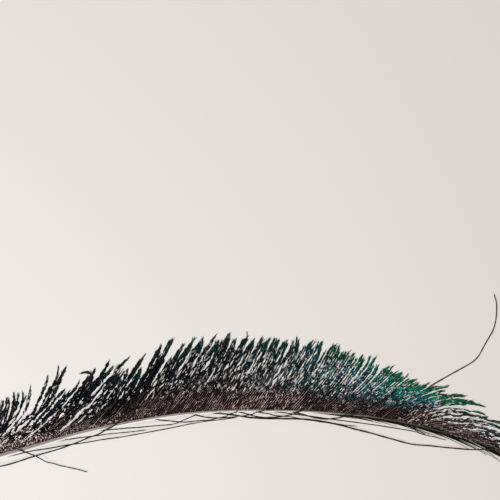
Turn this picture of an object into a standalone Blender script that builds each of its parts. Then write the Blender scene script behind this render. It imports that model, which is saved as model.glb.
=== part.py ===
"""A sword feather, the curved side feather of a peacock's train, lying on a flat surface.

The shaft runs along X from the bare quill at -X to the tip at +X. Its vane is one-sided: long locks of
barbs sweep out to +Y and droop from the raised shaft to the surface. A few loose strands lie along the
other side. Shaft, locks and strands grew together, so they are joined into one solid.

The places below are in millimetres from the crest of the shaft, the highest point of its bow in plan.
"""

import math

import bmesh
import bpy
import numpy as np

MM = 0.001

# The crest's place in the finished model, whose origin is under the middle of the feather.
CREST_X, CREST_Y = 53.5, -5.3

# Shaft: X, Y, and the radius there. The quill lies on the surface until LIFT_X, then the shaft bows up.
SHAFT = (
    (-290, -58.5, 0.9),
    (-286, -57.7, 1.5),
    (-279, -56.4, 1.95),
    (-270, -54.6, 2.1),
    (-240, -48.8, 2.1),
    (-190, -37.6, 1.85),
    (-150, -27.4, 1.6),
    (-126, -20.6, 1.4),
    (-102, -13.6, 1.15),
    (-75, -7.7, 1.0),
    (-45, -2.7, 0.85),
    (-15, -0.3, 0.7),
    (15, -0.1, 0.6),
    (45, -1.3, 0.55),
    (75, -4.1, 0.5),
    (95, -7.9, 0.45),
    (115, -12.9, 0.42),
    (135, -18.4, 0.38),
    (152, -26.6, 0.33),
    (168, -36.5, 0.25),
)
LIFT_X = -240
BOW_HEIGHT = 7.0
SHAFT_RING_SPACING = 15
SHAFT_SIDES = 8
WELD = 0.01 * MM
SHARP_ANGLE = math.radians(50)

# Barbs of the vane: X of the root, direction at the root and at the tip in degrees from +X, length.
BARBS = (
    (-246, 30, 62, 13),
    (-232, 32, 70, 24),
    (-216, 34, 76, 40),
    (-200, 35, 82, 54),
    (-186, 35, 82, 62),
    (-170, 36, 80, 62),
    (-165, 37, 64, 75),
    (-157, 38, 62, 72),
    (-147, 39, 52, 62),
    (-138, 41, 54, 72),
    (-128, 40, 50, 69),
    (-115, 41, 56, 68),
    (-102, 44, 60, 66),
    (-92, 46, 64, 66),
    (-73, 48, 63, 60),
    (-47, 52, 66, 57.5),
    (-17, 54, 67, 51.5),
    (3, 51, 65, 49),
    (23, 47, 62, 47.5),
    (35, 42, 59, 45),
    (50, 35, 50, 43.5),
    (72, 31, 26, 41),
    (82, 26, 14, 45),
    (88, 22, 2, 52),
    (94, 18, -16, 58),
    (100, 12, -30, 64),
    (108, 4, -38, 66),
    (118, -3, -42, 62),
    (132, -12, -44, 54),
    (150, -26, -44, 40),
    (160, -34, -42, 28),
)
# Down on the other side of the shaft's base, in the same columns.
DOWN = (
    (-248, 0, -18, 9),
    (-230, -2, -32, 16),
    (-205, 0, -40, 22),
    (-180, 8, -36, 18),
)

# A lock is a flat bundle of barbs: the step to the next root along X, its width, and its thickness and
# the flat of its crown as shares of that width.
LOCK_SPACING = ((-248, 7.0), (-170, 7.0), (-120, 7.5), (0, 6.6), (60, 6.4), (100, 8.0), (160, 9.5))
LOCK_WIDTH = ((-248, 4.4), (-200, 5.0), (-120, 5.4), (0, 6.0), (60, 5.4), (100, 4.0), (160, 3.0))
LOCK_FLATNESS = 0.24
LOCK_CROWN = 0.35
LOCK_RINGS = 9
# Share of a lock's full width at each share of its length, from root to point.
LOCK_TAPER = ((0, 0.5), (0.12, 0.95), (0.3, 1.0), (0.7, 0.9), (0.88, 0.6), (1, 0.1))
SWEEP_POWER = 1.3
DROOP_POWER = 1.2
TIP_LIFTS = (0.0, 0.35)
DOWN_SPACING = 11

# Loose strands: X of the root on the shaft, then points along the strand as X, Y and height.
STRAND_RADIUS = 0.5
STRAND_SIDES = 5
STRAND_RINGS_A_SPAN = 2
STRANDS = (
    (-172, (-150, -33.6, 2.2), (-129, -27.3, 1.0), (-108, -21.6, 0.7), (-93, -15.4, 0.6)),
    (-160, (-132, -24.6, 2.6), (-102, -20.0, 1.8), (-70, -15.8, 1.8), (-30, -8.0, 1.8), (-8, -4.6, 1.8)),
    (-146, (-136, -24.3, 4.2), (-130, -26.6, 2.4), (-122, -31.2, 1.0), (-111, -34.0, 0.6), (-97, -36.9, 0.6)),
    (
        -24,
        (6, -4.5, 4.5),
        (36, -5.6, 1.6),
        (66, -12.3, 0.6),
        (102, -20.4, 0.6),
        (126, -23.0, 0.6),
        (156, -24.6, 0.6),
    ),
    (
        78,
        (90, 3.0, 3.6),
        (103, 10.8, 2.2),
        (117, 18.8, 1.0),
        (130, 26.7, 0.6),
        (138, 34.2, 0.6),
        (145, 45.6, 0.6),
        (148, 57.0, 0.6),
        (146.4, 70.0, 0.6),
    ),
)


def along(points, x, column=1):
    """A smooth curve through the points, read at x: cubic, with each point's slope set by its neighbours."""
    xs, ys = np.array(points, float)[:, [0, column]].T
    slopes = np.gradient(ys, xs)
    i = int(np.clip(np.searchsorted(xs, x) - 1, 0, len(xs) - 2))
    step = xs[i + 1] - xs[i]
    t = (x - xs[i]) / step
    start = ys[i] * (1 + 2 * t) * (1 - t) ** 2 + step * slopes[i] * t * (1 - t) ** 2
    end = ys[i + 1] * t * t * (3 - 2 * t) + step * slopes[i + 1] * t * t * (t - 1)
    return float(start + end)


def read(pairs, x):
    """Straight lines between the listed pairs, read at x."""
    return np.interp(x, *np.array(pairs, float).T)


def shaft_radius(x):
    return float(read([(place, radius) for place, _, radius in SHAFT], x))


def shaft_centre(x):
    """The shaft's centreline: level on the surface along the quill, then one low bow to the tip."""
    share = np.clip((x - LIFT_X) / (SHAFT[-1][0] - LIFT_X), 0, 1)
    height = shaft_radius(max(x, LIFT_X)) + BOW_HEIGHT * math.sin(math.pi * share) ** 2
    return np.array((x, along(SHAFT, x), height))


def lock_path(table, root_x, tip_lift):
    """Points and widths of one lock, which turns steadily in plan and sinks to the surface at its point."""
    start, end, length = (along(table, root_x, column) for column in (1, 2, 3))
    share = np.linspace(0, 1, LOCK_RINGS)
    angle = np.radians(start + (end - start) * share**SWEEP_POWER)
    middle = (angle[1:] + angle[:-1]) / 2
    step = length / (LOCK_RINGS - 1)
    root = shaft_centre(root_x)
    width = read(LOCK_WIDTH, root_x) * read(LOCK_TAPER, share)
    half_thick = LOCK_FLATNESS / 2 * width
    x = root[0] + step * np.append(0, np.cumsum(np.cos(middle)))
    y = root[1] + step * np.append(0, np.cumsum(np.sin(middle)))
    z = half_thick + tip_lift * share + (root[2] - half_thick[0]) * (1 - share) ** DROOP_POWER
    return np.column_stack((x, y, z)), width


def vane_roots():
    """X of each lock's root, from the base of the vane to its tip."""
    x = BARBS[0][0]
    while x <= BARBS[-1][0]:
        yield x
        x += read(LOCK_SPACING, x)


def material(name, colour, roughness, metallic):
    made = bpy.data.materials.new(name)
    made.use_nodes = True
    shader = made.node_tree.nodes["Principled BSDF"]
    shader.inputs["Base Color"].default_value = (*colour, 1)
    shader.inputs["Roughness"].default_value = roughness
    shader.inputs["Metallic"].default_value = metallic
    return made


def section(name, corners, collection):
    """A closed outline to sweep, one unit in size at radius 1."""
    curve = bpy.data.curves.new(name, "CURVE")
    curve.dimensions = "2D"
    spline = curve.splines.new("POLY")
    spline.points.add(len(corners) - 1)
    for point, (x, y) in zip(spline.points, corners):
        point.co = (x * MM, y * MM, 0, 1)
    spline.use_cyclic_u = True
    made = bpy.data.objects.new(name, curve)
    return helper(made, collection)


def round_section(name, sides, collection):
    """A regular polygon around a circle of radius 1, with one flat side down."""
    turns = (np.arange(sides) + 0.5) / sides * math.tau - math.pi / 2
    reach = 1 / math.cos(math.pi / sides)
    return section(name, np.column_stack((np.cos(turns), np.sin(turns))) * reach, collection)


def helper(obj, collection):
    obj.hide_render = True
    obj.display_type = "WIRE"
    collection.objects.link(obj)
    return obj


def swept(name, outline, points, sizes, look, collection):
    """A closed solid: the outline swept along the points, sized at each, as a mesh with its caps welded."""
    curve = bpy.data.curves.new(name, "CURVE")
    curve.dimensions = "3D"
    curve.twist_mode = "Z_UP"
    curve.bevel_mode = "OBJECT"
    curve.bevel_object = outline
    curve.use_fill_caps = True
    spline = curve.splines.new("POLY")
    spline.points.add(len(points) - 1)
    for point, place, size in zip(spline.points, points, sizes):
        point.co = (*(np.array(place) * MM), 1)
        point.radius = size
    path = bpy.data.objects.new(f"{name}_path", curve)
    bpy.context.scene.collection.objects.link(path)
    bpy.context.view_layer.update()
    graph = bpy.context.evaluated_depsgraph_get()
    mesh = bpy.data.meshes.new_from_object(path.evaluated_get(graph))
    solid = bmesh.new()
    solid.from_mesh(mesh)
    bmesh.ops.remove_doubles(solid, verts=solid.verts, dist=WELD)
    bmesh.ops.recalc_face_normals(solid, faces=solid.faces)
    solid.to_mesh(mesh)
    solid.free()
    mesh.materials.clear()
    mesh.materials.append(look)
    mesh.shade_smooth()
    mesh.set_sharp_from_angle(angle=SHARP_ANGLE)
    made = bpy.data.objects.new(name, mesh)
    made.matrix_world = path.matrix_world
    collection.objects.link(made)
    bpy.data.objects.remove(path)
    return made


def shaft_rings():
    """X of each ring: every listed point of the quill's end, then even steps to the tip."""
    quill = [x for x, _, _ in SHAFT if x <= LIFT_X]
    steps = round((SHAFT[-1][0] - LIFT_X) / SHAFT_RING_SPACING)
    return quill + list(np.linspace(LIFT_X, SHAFT[-1][0], steps + 1)[1:])


def make_shaft(outline, look, collection):
    rings = shaft_rings()
    return swept(
        "feather", outline, [shaft_centre(x) for x in rings], map(shaft_radius, rings), look, collection
    )


def make_locks(outline, look, collection):
    """The vane's locks, with alternate points a little higher, and the down across the shaft's base."""
    made = []
    for i, x in enumerate(vane_roots()):
        points, widths = lock_path(BARBS, x, TIP_LIFTS[i % 2])
        made.append(swept(f"lock_{i:02d}", outline, points, widths, look, collection))
    for i, x in enumerate(np.arange(DOWN[0][0], DOWN[-1][0] + 1, DOWN_SPACING)):
        points, widths = lock_path(DOWN, x, TIP_LIFTS[i % 2])
        made.append(swept(f"down_{i:02d}", outline, points, widths, look, collection))
    return made


def strand_path(root_x, *course):
    """A smooth path from the shaft through the strand's points."""
    points = np.array([shaft_centre(root_x), *course])
    numbered = np.column_stack((np.arange(len(points)), points))
    places = np.linspace(0, len(course), STRAND_RINGS_A_SPAN * len(course) + 1)
    return np.array([[along(numbered, place, axis) for axis in (1, 2, 3)] for place in places])


def make_strands(outline, look, collection):
    made = []
    for i, strand in enumerate(STRANDS):
        points = strand_path(*strand)
        sizes = np.linspace(STRAND_RADIUS, STRAND_RADIUS / 2, len(points))
        made.append(swept(f"strand_{i}", outline, points, sizes, look, collection))
    return made


def clear_scene():
    for obj in list(bpy.data.objects):
        bpy.data.objects.remove(obj)


def main():
    clear_scene()
    parts = bpy.data.collections.new("peacock_feather")
    joined = bpy.data.collections.new("joined_to_shaft")
    outlines = bpy.data.collections.new("sections")
    for collection in (parts, joined, outlines):
        bpy.context.scene.collection.children.link(collection)

    shaft_look = material("shaft_keratin", (0.42, 0.36, 0.30), 0.45, 0.0)
    vane_look = material("vane_green", (0.03, 0.10, 0.09), 0.40, 0.6)
    strand_look = material("loose_strand", (0.06, 0.06, 0.04), 0.50, 0.2)

    upper = ((0.5, 0), (LOCK_CROWN / 2, LOCK_FLATNESS / 2), (-LOCK_CROWN / 2, LOCK_FLATNESS / 2))
    lens = upper + tuple((-x, -y) for x, y in upper)
    lock_outline = section("lock_section", lens, outlines)
    shaft_outline = round_section("shaft_section", SHAFT_SIDES, outlines)
    strand_outline = round_section("strand_section", STRAND_SIDES, outlines)

    feather = make_shaft(shaft_outline, shaft_look, parts)
    pieces = make_locks(lock_outline, vane_look, joined)
    pieces += make_strands(strand_outline, strand_look, joined)
    for piece in pieces:
        piece.hide_render = True
        piece.display_type = "WIRE"

    union = feather.modifiers.new("grown together", "BOOLEAN")
    union.operation = "UNION"
    union.operand_type = "COLLECTION"
    union.collection = joined
    union.material_mode = "TRANSFER"

    origin = bpy.data.objects.new("feather_place", None)
    parts.objects.link(origin)
    for obj in [feather, *pieces]:
        obj.parent = origin
    origin.location = (CREST_X * MM, CREST_Y * MM, 0)


main()
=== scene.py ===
"""A peacock's sword feather on a pale floor: shaft, barbs, barbules, loose strands and down as fine meshes.

Places are in millimetres from the crest of the shaft, the highest point of its bow in plan, and X runs
from the quill to the tip. Every shape is a round or flat profile carried along a course of points.
"""

import math

import bpy
import numpy as np
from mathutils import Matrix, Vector


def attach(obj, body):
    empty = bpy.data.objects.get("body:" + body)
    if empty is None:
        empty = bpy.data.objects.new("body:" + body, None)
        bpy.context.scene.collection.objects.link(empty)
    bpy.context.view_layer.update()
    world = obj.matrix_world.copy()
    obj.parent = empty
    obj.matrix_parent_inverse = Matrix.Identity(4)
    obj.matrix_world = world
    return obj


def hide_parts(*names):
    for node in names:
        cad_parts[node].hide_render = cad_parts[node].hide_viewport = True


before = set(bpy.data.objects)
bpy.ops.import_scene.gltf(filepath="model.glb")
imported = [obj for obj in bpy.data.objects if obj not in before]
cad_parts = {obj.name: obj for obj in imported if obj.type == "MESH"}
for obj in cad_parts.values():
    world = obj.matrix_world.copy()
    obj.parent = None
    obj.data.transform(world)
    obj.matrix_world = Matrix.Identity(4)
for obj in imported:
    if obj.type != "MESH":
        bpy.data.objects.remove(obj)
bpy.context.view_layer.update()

MM = 0.001
# Where the crest lies in the frame.
CREST_X, CREST_Y = 53.5, -5.3

# Shaft: X, Y, and the radius there. The quill lies on the surface until LIFT_X, then the shaft bows up.
SHAFT = (
    (-290, -58.5, 0.9), (-286, -57.7, 1.5), (-279, -56.4, 1.95), (-270, -54.6, 2.1), (-240, -48.8, 2.1),
    (-190, -37.6, 1.85), (-150, -27.4, 1.6), (-126, -20.6, 1.4), (-102, -13.6, 1.15), (-75, -7.7, 1),
    (-45, -2.7, 0.85), (-15, -0.3, 0.7), (15, -0.1, 0.6), (45, -1.3, 0.55), (75, -4.1, 0.5),
    (95, -7.9, 0.45), (115, -12.9, 0.42), (135, -18.4, 0.38), (152, -26.6, 0.33), (168, -36.5, 0.25),
)
LIFT_X = -240
TIP_X = SHAFT[-1][0]
BOW_HEIGHT = 7
SHAFT_SIDES = 24
SHAFT_FLATNESS = 0.95
# Its rings, in two rows: first X, last X and number. Then X of the quill's closed end, and how far the
# closed tip lies past the last ring.
SHAFT_RINGS = ((-290, -270, 14), (-268, TIP_X, 120))
BUTT_X = -291.2
TIP_REACH = 1

# Barbs of the vane: X of the root, direction at the root and at the tip in degrees from +X, length.
BARBS = (
    (-246, 30, 62, 13), (-232, 32, 70, 24), (-216, 34, 76, 40), (-200, 35, 84, 54), (-186, 35, 90, 58),
    (-178, 36, 90, 60), (-166, 37, 84, 64), (-157, 38, 70, 70), (-147, 39, 56, 62), (-138, 40, 56, 68),
    (-128, 40, 52, 69), (-115, 41, 56, 68), (-102, 44, 60, 66), (-92, 46, 64, 66), (-73, 48, 63, 60),
    (-47, 52, 66, 56.5), (-17, 54, 67, 50.5), (3, 51, 65, 49), (23, 47, 62, 47.5), (35, 42, 59, 44.4),
    (50, 35, 50, 42.4), (72, 33, 26, 38.6), (82, 32, 9, 43), (88, 29, -2, 49), (94, 25, -25, 51),
    (100, 14, -30, 60), (108, 4, -38, 66), (118, -3, -42, 62), (132, -12, -44, 54), (150, -26, -44, 40),
    (160, -34, -42, 28),
)
# How late along a barb it turns.
SWEEP = ((-248, 1.3), (-186, 1.6), (-174, 2.4), (-150, 2), (-130, 1.6), (-90, 1.3))
DROOP_POWER = 1.2
COURSE_POINTS = 51

# The step from one barb's root to the next.
BARB_STEP = (
    (-182, 2.4), (-178, 1.6), (-164, 1.6), (-160, 2.4), (-120, 2.2), (-90, 1.6), (-70, 1.4), (84, 1.4),
    (92, 2.2), (110, 2.6), (160, 3),
)
# How uneven neighbouring barbs are in length, as a share of it, by X of the root.
UNEVEN_LENGTH = ((-248, 0.1), (-180, 0.03), (-110, 0.03), (-80, 0.05), (60, 0.05), (90, 0.08), (160, 0.14))
# Degrees that a tip turns at random for each unit of that, and how uneven its curl is.
UNEVEN_TURN = 14
UNEVEN_CURL = 0.5

# Gaps between barbs: X of the root, how wide they open, how long they run, the share of a barb where they
# start, and a power that keeps the widest few.
GAPS = (
    (-248, 3.2, 18, 0, 2), (-184, 2.4, 12, 0, 2), (-170, 2.1, 11, 0, 2), (-146, 2, 10, 0, 2),
    (-136, 0.9, 8, 0, 2), (-126, 1, 7, 0.02, 2.2), (-120, 2.8, 7, 0.05, 2.2), (-110, 3, 7, 0.08, 2.2),
    (-102, 2.2, 6, 0.14, 2.4), (-90, 1, 5, 0.16, 2.4), (-76, 1.1, 5, 0.18, 2.4), (-62, 1.4, 4, 0.16, 2.4),
    (-20, 1.3, 3.8, 0.18, 2.4), (10, 1, 3.8, 0.18, 2.4), (34, 0.7, 3.6, 0.18, 2.4),
    (60, 0.5, 2.1, 0.18, 2.4), (86, 0.5, 3, 0.2, 2.4), (96, 1.8, 7, 0.2, 2.4), (130, 3, 10, 0.16, 3),
)
# Over how many barbs to each side a gap is made up, and over what share of a barb it opens.
GAP_REACH = 4
GAP_EASE = 0.16
# Longer slits: X of the root, width, and the shares of a barb where they start and end.
SLITS = (
    (-176, 1.6, 0.02, 0.5), (-160, 1.6, 0.02, 0.45), (-142, 1.3, 0.04, 0.5), (-125, 0.7, 0.6, 0.95),
    (-118, 1.5, 0.03, 0.38), (-112, 1.1, 0.08, 0.4), (-104, 1, 0.6, 0.95), (-93, 1.1, 0.55, 0.95),
    (-82, 1.1, 0.55, 0.95), (-73, 1.1, 0.08, 0.4), (-64, 1.1, 0.58, 0.95), (-55, 1.2, 0.6, 0.95),
    (-46, 1.1, 0.58, 0.95),
)
SLIT_EASE = 0.1

# Locks of barbs that cling together at their tips: X of the first root, extra turn at the tip in degrees,
# length as a share of the table's, how far its barbs close up, and how many degrees their tips curl. Past
# the last row locks are random.
LOCKS = (
    (-248, 0, 1, 0.5, 0), (-240, 6, 0.9, 0.6, 10), (-231, -4, 1.05, 0.6, 0), (-224, 5, 0.88, 0.5, -10),
    (-215, -3, 1.04, 0.6, 6), (-206, 4, 0.86, 0.6, 0), (-199, -5, 1.02, 0.6, 12), (-190, 2, 0.92, 0.6, -8),
    (-183, -8, 0.76, 0.5, 8), (-179.4, -2, 0.84, 0.5, 6), (-177.8, 0, 0.86, 0.5, 0),
    (-174.4, 2, 0.84, 0.5, 0), (-172.9, 4, 0.87, 0, 6), (-171.3, 4, 0.81, 0, -6), (-169.7, 5, 0.83, 0, -4),
    (-168.1, 1, 0.84, 0, 8), (-166.5, 1, 0.81, 0, -14), (-164.9, 5, 0.88, 0, 14), (-163.3, -4, 0.98, 0, 10),
    (-161.4, -2, 1.07, 0, 10), (-159.4, 0, 1.05, 0, -12), (-157, 0, 0.96, 0, 6), (-154.7, -2, 0.82, 0, 10),
    (-152.3, -5, 0.85, 0, -8), (-149.9, -4, 0.74, 0, 12), (-147.5, -2, 0.86, 0.3, 0),
    (-142.7, 0, 0.89, 0, 0), (-141, -4, 0.92, 0, 10), (-138.8, 0, 0.93, 0, 8), (-136.4, 0, 0.98, 0, 120),
    (-134.2, -1, 1.03, 0, 12), (-132, 0, 0.94, 0.4, 0), (-125, 0, 1.02, 0, -10), (-122.9, 0, 0.95, 0, -6),
    (-120.7, -2, 0.86, 0.3, 0), (-116.3, -2, 0.79, 0.5, 6), (-110, 0, 0.74, 0.5, 0),
    (-104, 0, 0.72, 0.6, 12), (-98, 2, 0.84, 0.6, 0), (-93, -2, 0.68, 0.6, 10), (-86.5, 3, 0.96, 0.2, 6),
    (-84.4, -2, 0.96, 0.3, 0), (-82, 8, 0.95, 0.6, -8), (-76, 0, 0.96, 0.5, 0),
)
# Random locks: how many barbs they hold, and the most that their tips curl and turn, in degrees, that
# their length differs, and that they close up.
LOCK_SIZES = (1, 2, 3, 3, 4, 5)
LOCK_CURL = 16
LOCK_TURN = 1
LOCK_LENGTH = 0.04
LOCK_CLOSE = ((-40, 0.5), (0, 0.38), (30, 0.3), (60, 0.25), (80, 0.3), (90, 0.5))
LOCK_SPREAD = (0.2, 1.1)
# The shares of a barb where its tip starts to curl, and where it starts to close up.
CURL_FROM = 0.82
LOCK_FROM = 0.76
# How much of its gaps a closed lock loses.
LOCK_SHUT = 0.8
# How much shorter the barbs at a lock's edge are, by X of the root.
POINTED = ((-248, 0.05), (-120, 0.08), (-104, 0.2), (-76, 0.18), (-60, 0.14), (-40, 0.12), (0, 0.05))

# Barbules of the vane: spacing on each side of a barb, length and angle to the barb by share of the barb's
# length, and width.
BARBULES = (
    0.42,
    ((0, 0.9), (0.04, 1.5), (0.3, 1.6), (0.5, 1.6), (0.72, 1.8), (0.86, 2.2), (0.95, 2.2), (1, 1.7)),
    ((0, 44), (0.3, 36), (0.6, 27), (0.8, 26), (0.93, 27), (1, 16)),
    0.4,
)
BARBULE_FLATNESS = 0.5
# Where the two rows stand in each spacing, how unevenly, and the shares of a barb that they keep within.
ROW_STARTS = (0.25, 0.75)
BARBULE_JITTER = 0.3
BARBULE_ENDS = (0.004, 0.996)
# How much their length drifts along a barb, the size of a tuft, and the share of a barb where that is full.
TUFT_UNEVEN = 0.8
TUFT_SIZE = 2
TUFT_FULL = 0.3
# Random spread of their length, lean and width, as shares, and of their rise, as a share of length.
LENGTH_SPREAD = (0.8, 1.15)
LEAN_SPREAD = (0.75, 1.25)
WIDTH_SPREAD = (0.8, 1.2)
RISE_SPREAD = (-0.25, 0.05)
# Where along a barbule its belly is, how much lean is left at its tip, and from what length it is full.
BELLY = 0.42
TIP_LEAN = 0.8
FULL_LENGTH = 1.6
# Radius of a barb's stem at its root and tip.
STEM_RADIUS = (0.26, 0.06)
# Half the width of the closed web of barbule bases on each barb, by share of its length.
WEB = (
    (0.04, 0.66), (0.25, 0.62), (0.42, 0.56), (0.65, 0.51), (0.8, 0.55), (0.93, 0.56), (0.98, 0.38),
    (1, 0.05),
)
# How much wider the webs are, by X of the root.
WEB_SCALE = (
    (-152, 1.3), (-142, 1.4), (-138, 1.9), (-127, 1.9), (-120, 1.1), (-100, 1.05), (-95, 1.75), (-80, 1.8),
    (-70, 1.15), (0, 1.05), (34, 1.16), (60, 1.12), (80, 1.15), (90, 1.25), (102, 1.3), (130, 1.2),
)
# A web's edge is uneven within this spread, and more so by a power, by X of the root.
WEB_SPREAD = (0.45, 1.45)
WEB_BEADS = ((-248, 2.2), (-150, 2), (-136, 1))
WEB_FLATNESS = 0.25
# How far webs stay clear of the floor, and start inside the shaft, as a share of their first step.
WEB_CLEAR = 0.2
WEB_ROOT = 0.8
# The lowest that the centreline of a barb or barbule lies, and how much higher a barb's tip may lie.
FLOOR_GAP = 0.25
LAYERS = (0, 0.9)
# Barbs leave the shaft this share of its radius to the side.
BARB_SEAT = 0.9
# How far a barb's two rows of barbules roll about it, in degrees, by share of its length, and the share of
# a barb over which that changes.
ROLL = ((0, 7), (0.25, 21), (0.5, 70), (0.8, 70), (1, 42))
ROLL_CELL = 0.16

# Least random grey that makes a pale fleck, a painted glint, by share of a barb's length, in six zones
# from the quill to the tip; each pair of X is where one zone blends into the next.
PAINTED_GLINT_LIMITS = (
    ((0.01, 0.93), (0.05, 0.54), (0.14, 0.58), (0.3, 0.76), (0.45, 0.92), (0.8, 0.96)),
    ((0.01, 0.97), (0.05, 0.66), (0.1, 0.76), (0.2, 0.93), (0.35, 0.93), (0.5, 0.9), (0.8, 0.91), (1, 0.96)),
    ((0.01, 0.97), (0.05, 0.74), (0.1, 0.86), (0.2, 0.985), (0.4, 0.98), (0.8, 0.97)),
    ((0.01, 0.99), (0.06, 0.91), (0.2, 0.91), (0.35, 0.91), (0.7, 0.93), (0.84, 0.94), (1, 0.95)),
    ((0, 0.98), (0.08, 0.95), (0.2, 0.93), (0.5, 0.905), (0.75, 0.93), (0.86, 0.975), (1, 0.99)),
    ((0, 0.97), (0.06, 0.9), (0.16, 0.84), (0.4, 0.84), (0.7, 0.87), (0.86, 0.94), (1, 0.97)),
)
PAINTED_GLINT_ZONES = ((-150, -125), (-106, -96), (-78, -56), (0, 50), (84, 100))
# How bright stems, with their painted highlight, and painted glint flecks near the shaft are, by X of the
# root.
STEM_HIGHLIGHT_LEVELS = (
    (-150, 0.9), (-110, 0.5), (-60, 0.6), (-30, 1), (5, 1), (40, 0.7), (70, 0.45), (80, 0.1), (92, 0.5),
)
PAINTED_GLINT_LEVELS = (
    (-160, 1.5), (-138, 1.3), (-118, 0.8), (-60, 0.8), (-10, 0.95), (40, 0.8), (70, 0.5), (80, 0.2),
    (92, 0.9),
)

# Screen colours, each a place from 0 to 1, then red, green and blue. Barbules, by share of a barb's length,
# in five zones from the quill to the tip; each pair of X is where one zone blends into the next.
VANE_TONES = (
    (
        (0, 26, 16, 16), (0.12, 24, 16, 17), (0.25, 4, 2, 3), (0.55, 1, 2, 5), (0.72, 1, 10, 18),
        (0.86, 3, 30, 34), (1, 16, 40, 38),
    ),
    (
        (0, 22, 3, 4), (0.15, 27, 3, 6), (0.35, 15, 2, 7), (0.55, 8, 7, 15), (0.75, 8, 24, 34),
        (0.88, 4, 62, 58), (1, 30, 84, 62),
    ),
    (
        (0, 18, 3, 4), (0.15, 24, 3, 6), (0.33, 17, 8, 17), (0.48, 10, 38, 56), (0.66, 10, 64, 80),
        (0.82, 2, 90, 74), (0.93, 4, 108, 72), (1, 34, 90, 56),
    ),
    (
        (0, 20, 4, 4), (0.2, 20, 4, 6), (0.33, 20, 12, 20), (0.44, 10, 44, 58), (0.54, 0, 112, 120),
        (0.64, 0, 158, 144), (0.74, 0, 170, 108), (0.86, 2, 122, 74), (1, 20, 78, 48),
    ),
    ((0, 26, 16, 13), (0.2, 46, 32, 28), (0.42, 50, 40, 38), (0.75, 30, 56, 52), (1, 50, 66, 54)),
)
TONE_ZONES = ((-100, -60), (18, 50), (50, 72), (86, 96))
# Painted glints on barbules by random grey; pale flecks, which are painted glints, and barb stems, pale
# keratin with a painted highlight, by share of a barb's length.
GLINTS = (
    (0.1, 66, 28, 50), (0.3, 24, 26, 60), (0.45, 8, 50, 70), (0.58, 4, 70, 78), (0.66, 20, 150, 172),
    (0.74, 40, 190, 204), (0.82, 2, 80, 66), (0.95, 8, 160, 100),
)
PAINTED_GLINT_TONES = (
    (0, 206, 180, 172), (0.2, 216, 192, 188), (0.4, 246, 236, 236), (0.8, 220, 218, 216),
    (0.92, 120, 134, 126),
)
STEM_TONES_AND_HIGHLIGHT = (
    (0, 40, 20, 18), (0.07, 240, 208, 200), (0.2, 240, 210, 204), (0.4, 164, 142, 146), (0.65, 60, 58, 66),
    (0.85, 18, 42, 40), (1, 24, 44, 36),
)
# Shaft, by turn from the top round by the vane's side, and by share of its length. Round it, the bands
# are partly the keratin's own tones and partly painted light: a bright lit band on the far side, and
# lighter and darker lines across the top.
SHAFT_AROUND_WITH_PAINTED_LIGHT = (
    (0, 134, 123, 118), (0.03, 144, 133, 128), (0.07, 178, 168, 163), (0.12, 200, 190, 185),
    (0.2, 186, 174, 168), (0.25, 128, 114, 109), (0.72, 150, 136, 130), (0.78, 240, 234, 228),
    (0.88, 250, 244, 239), (0.93, 214, 204, 199), (0.965, 150, 139, 134), (1, 134, 123, 118),
)
SHAFT_ALONG = (
    (0, 236, 226, 206), (0.12, 240, 232, 218), (0.3, 250, 250, 250), (0.5, 255, 255, 255),
    (0.72, 255, 255, 255), (0.76, 170, 158, 152), (0.81, 96, 78, 68), (0.88, 54, 46, 36), (1, 40, 36, 24),
)

# Loose strands: X of the root on the shaft, then points along the strand as X, Y and height.
STRANDS = (
    (
        -172, (-150, -33.6, 2.2), (-129, -27.3, 1.6), (-110, -21.9, 3.8), (-95, -15.8, 6.8),
        (-86, -11.7, 8.1), (-80, -7.9, 8.8), (-75.5, -4.2, 8.2), (-72.3, 1.2, 7.2), (-70.5, 7, 6.2),
    ),
    (-160, (-132, -24.6, 2.6), (-102, -20, 1.8), (-70, -14.6, 1.8), (-30, -7.4, 1.8), (-8, -4.6, 1.8)),
    (-152, (-132, -23.4, 3.6), (-114, -18.4, 3), (-96, -15.6, 3.2), (-75, -13.5, 2.6), (-62, -11.9, 2)),
    (
        -150, (-145, -21.4, 6.8), (-137, -23.7, 7.2), (-129, -27.3, 4.4), (-120, -31.5, 1.4),
        (-109, -34.2, 0.7), (-97, -37, 0.7),
    ),
    (
        -24, (6, -4.5, 4.5), (36, -5.6, 1.6), (66, -12.1, 0.7), (92, -19.3, 0.7), (119, -22.7, 1),
        (149, -23.8, 2.6),
    ),
    (-92, (-70, -10.6, 3.4), (-47, -8.4, 4), (-39, -5.4, 6.4), (-30, -1.5, 8)),
    (-58, (-40, -7, 3.6), (-19, -4.8, 4.8), (-12, -2.1, 7.2), (-7, -0.4, 8.1)),
    (-36, (-20, -4.6, 4.6), (-6, -3.6, 5.6), (3, -1.5, 7.4), (14, 1, 7.9)),
    (-8, (6, -3.9, 4.6), (15, -4.2, 5), (27, -1.6, 7.4), (39, 5.2, 7.6), (46, 10, 6.9), (55, 17.8, 5.4)),
    (2, (14, -2.6, 4.6), (24, -4, 3.2), (36, -6.2, 1.8), (50, -8, 1), (64, -10, 0.7)),
    (14, (32, -3, 4.6), (66, -7.4, 3), (92, -11.8, 2.2), (105, -14.6, 1.6), (117, -18, 1)),
    (24, (44, -5, 4.6), (57, -3.6, 6.2), (69, 0.4, 6.7), (79, 5.6, 5), (86, 10.5, 3.6)),
    (
        78, (90, 3, 1.6), (99, 7, 0.6), (110, 15.4, 0.6), (124.4, 23.3, 0.8), (135.2, 30.2, 0.8),
        (141, 39.4, 0.7), (146.6, 50.4, 0.7), (148, 62.4, 0.7), (146.4, 70, 0.7),
    ),
)
STRAND_RADIUS = (0.38, 0.28)
# How thick each strand is, as a share of usual.
STRAND_WIDTH = (1.4, 1.15, 1.15, 1.2, 1.6, 1.1, 1.1, 1.2, 1.3, 1.1, 1.1, 1.3, 1.5)
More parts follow.
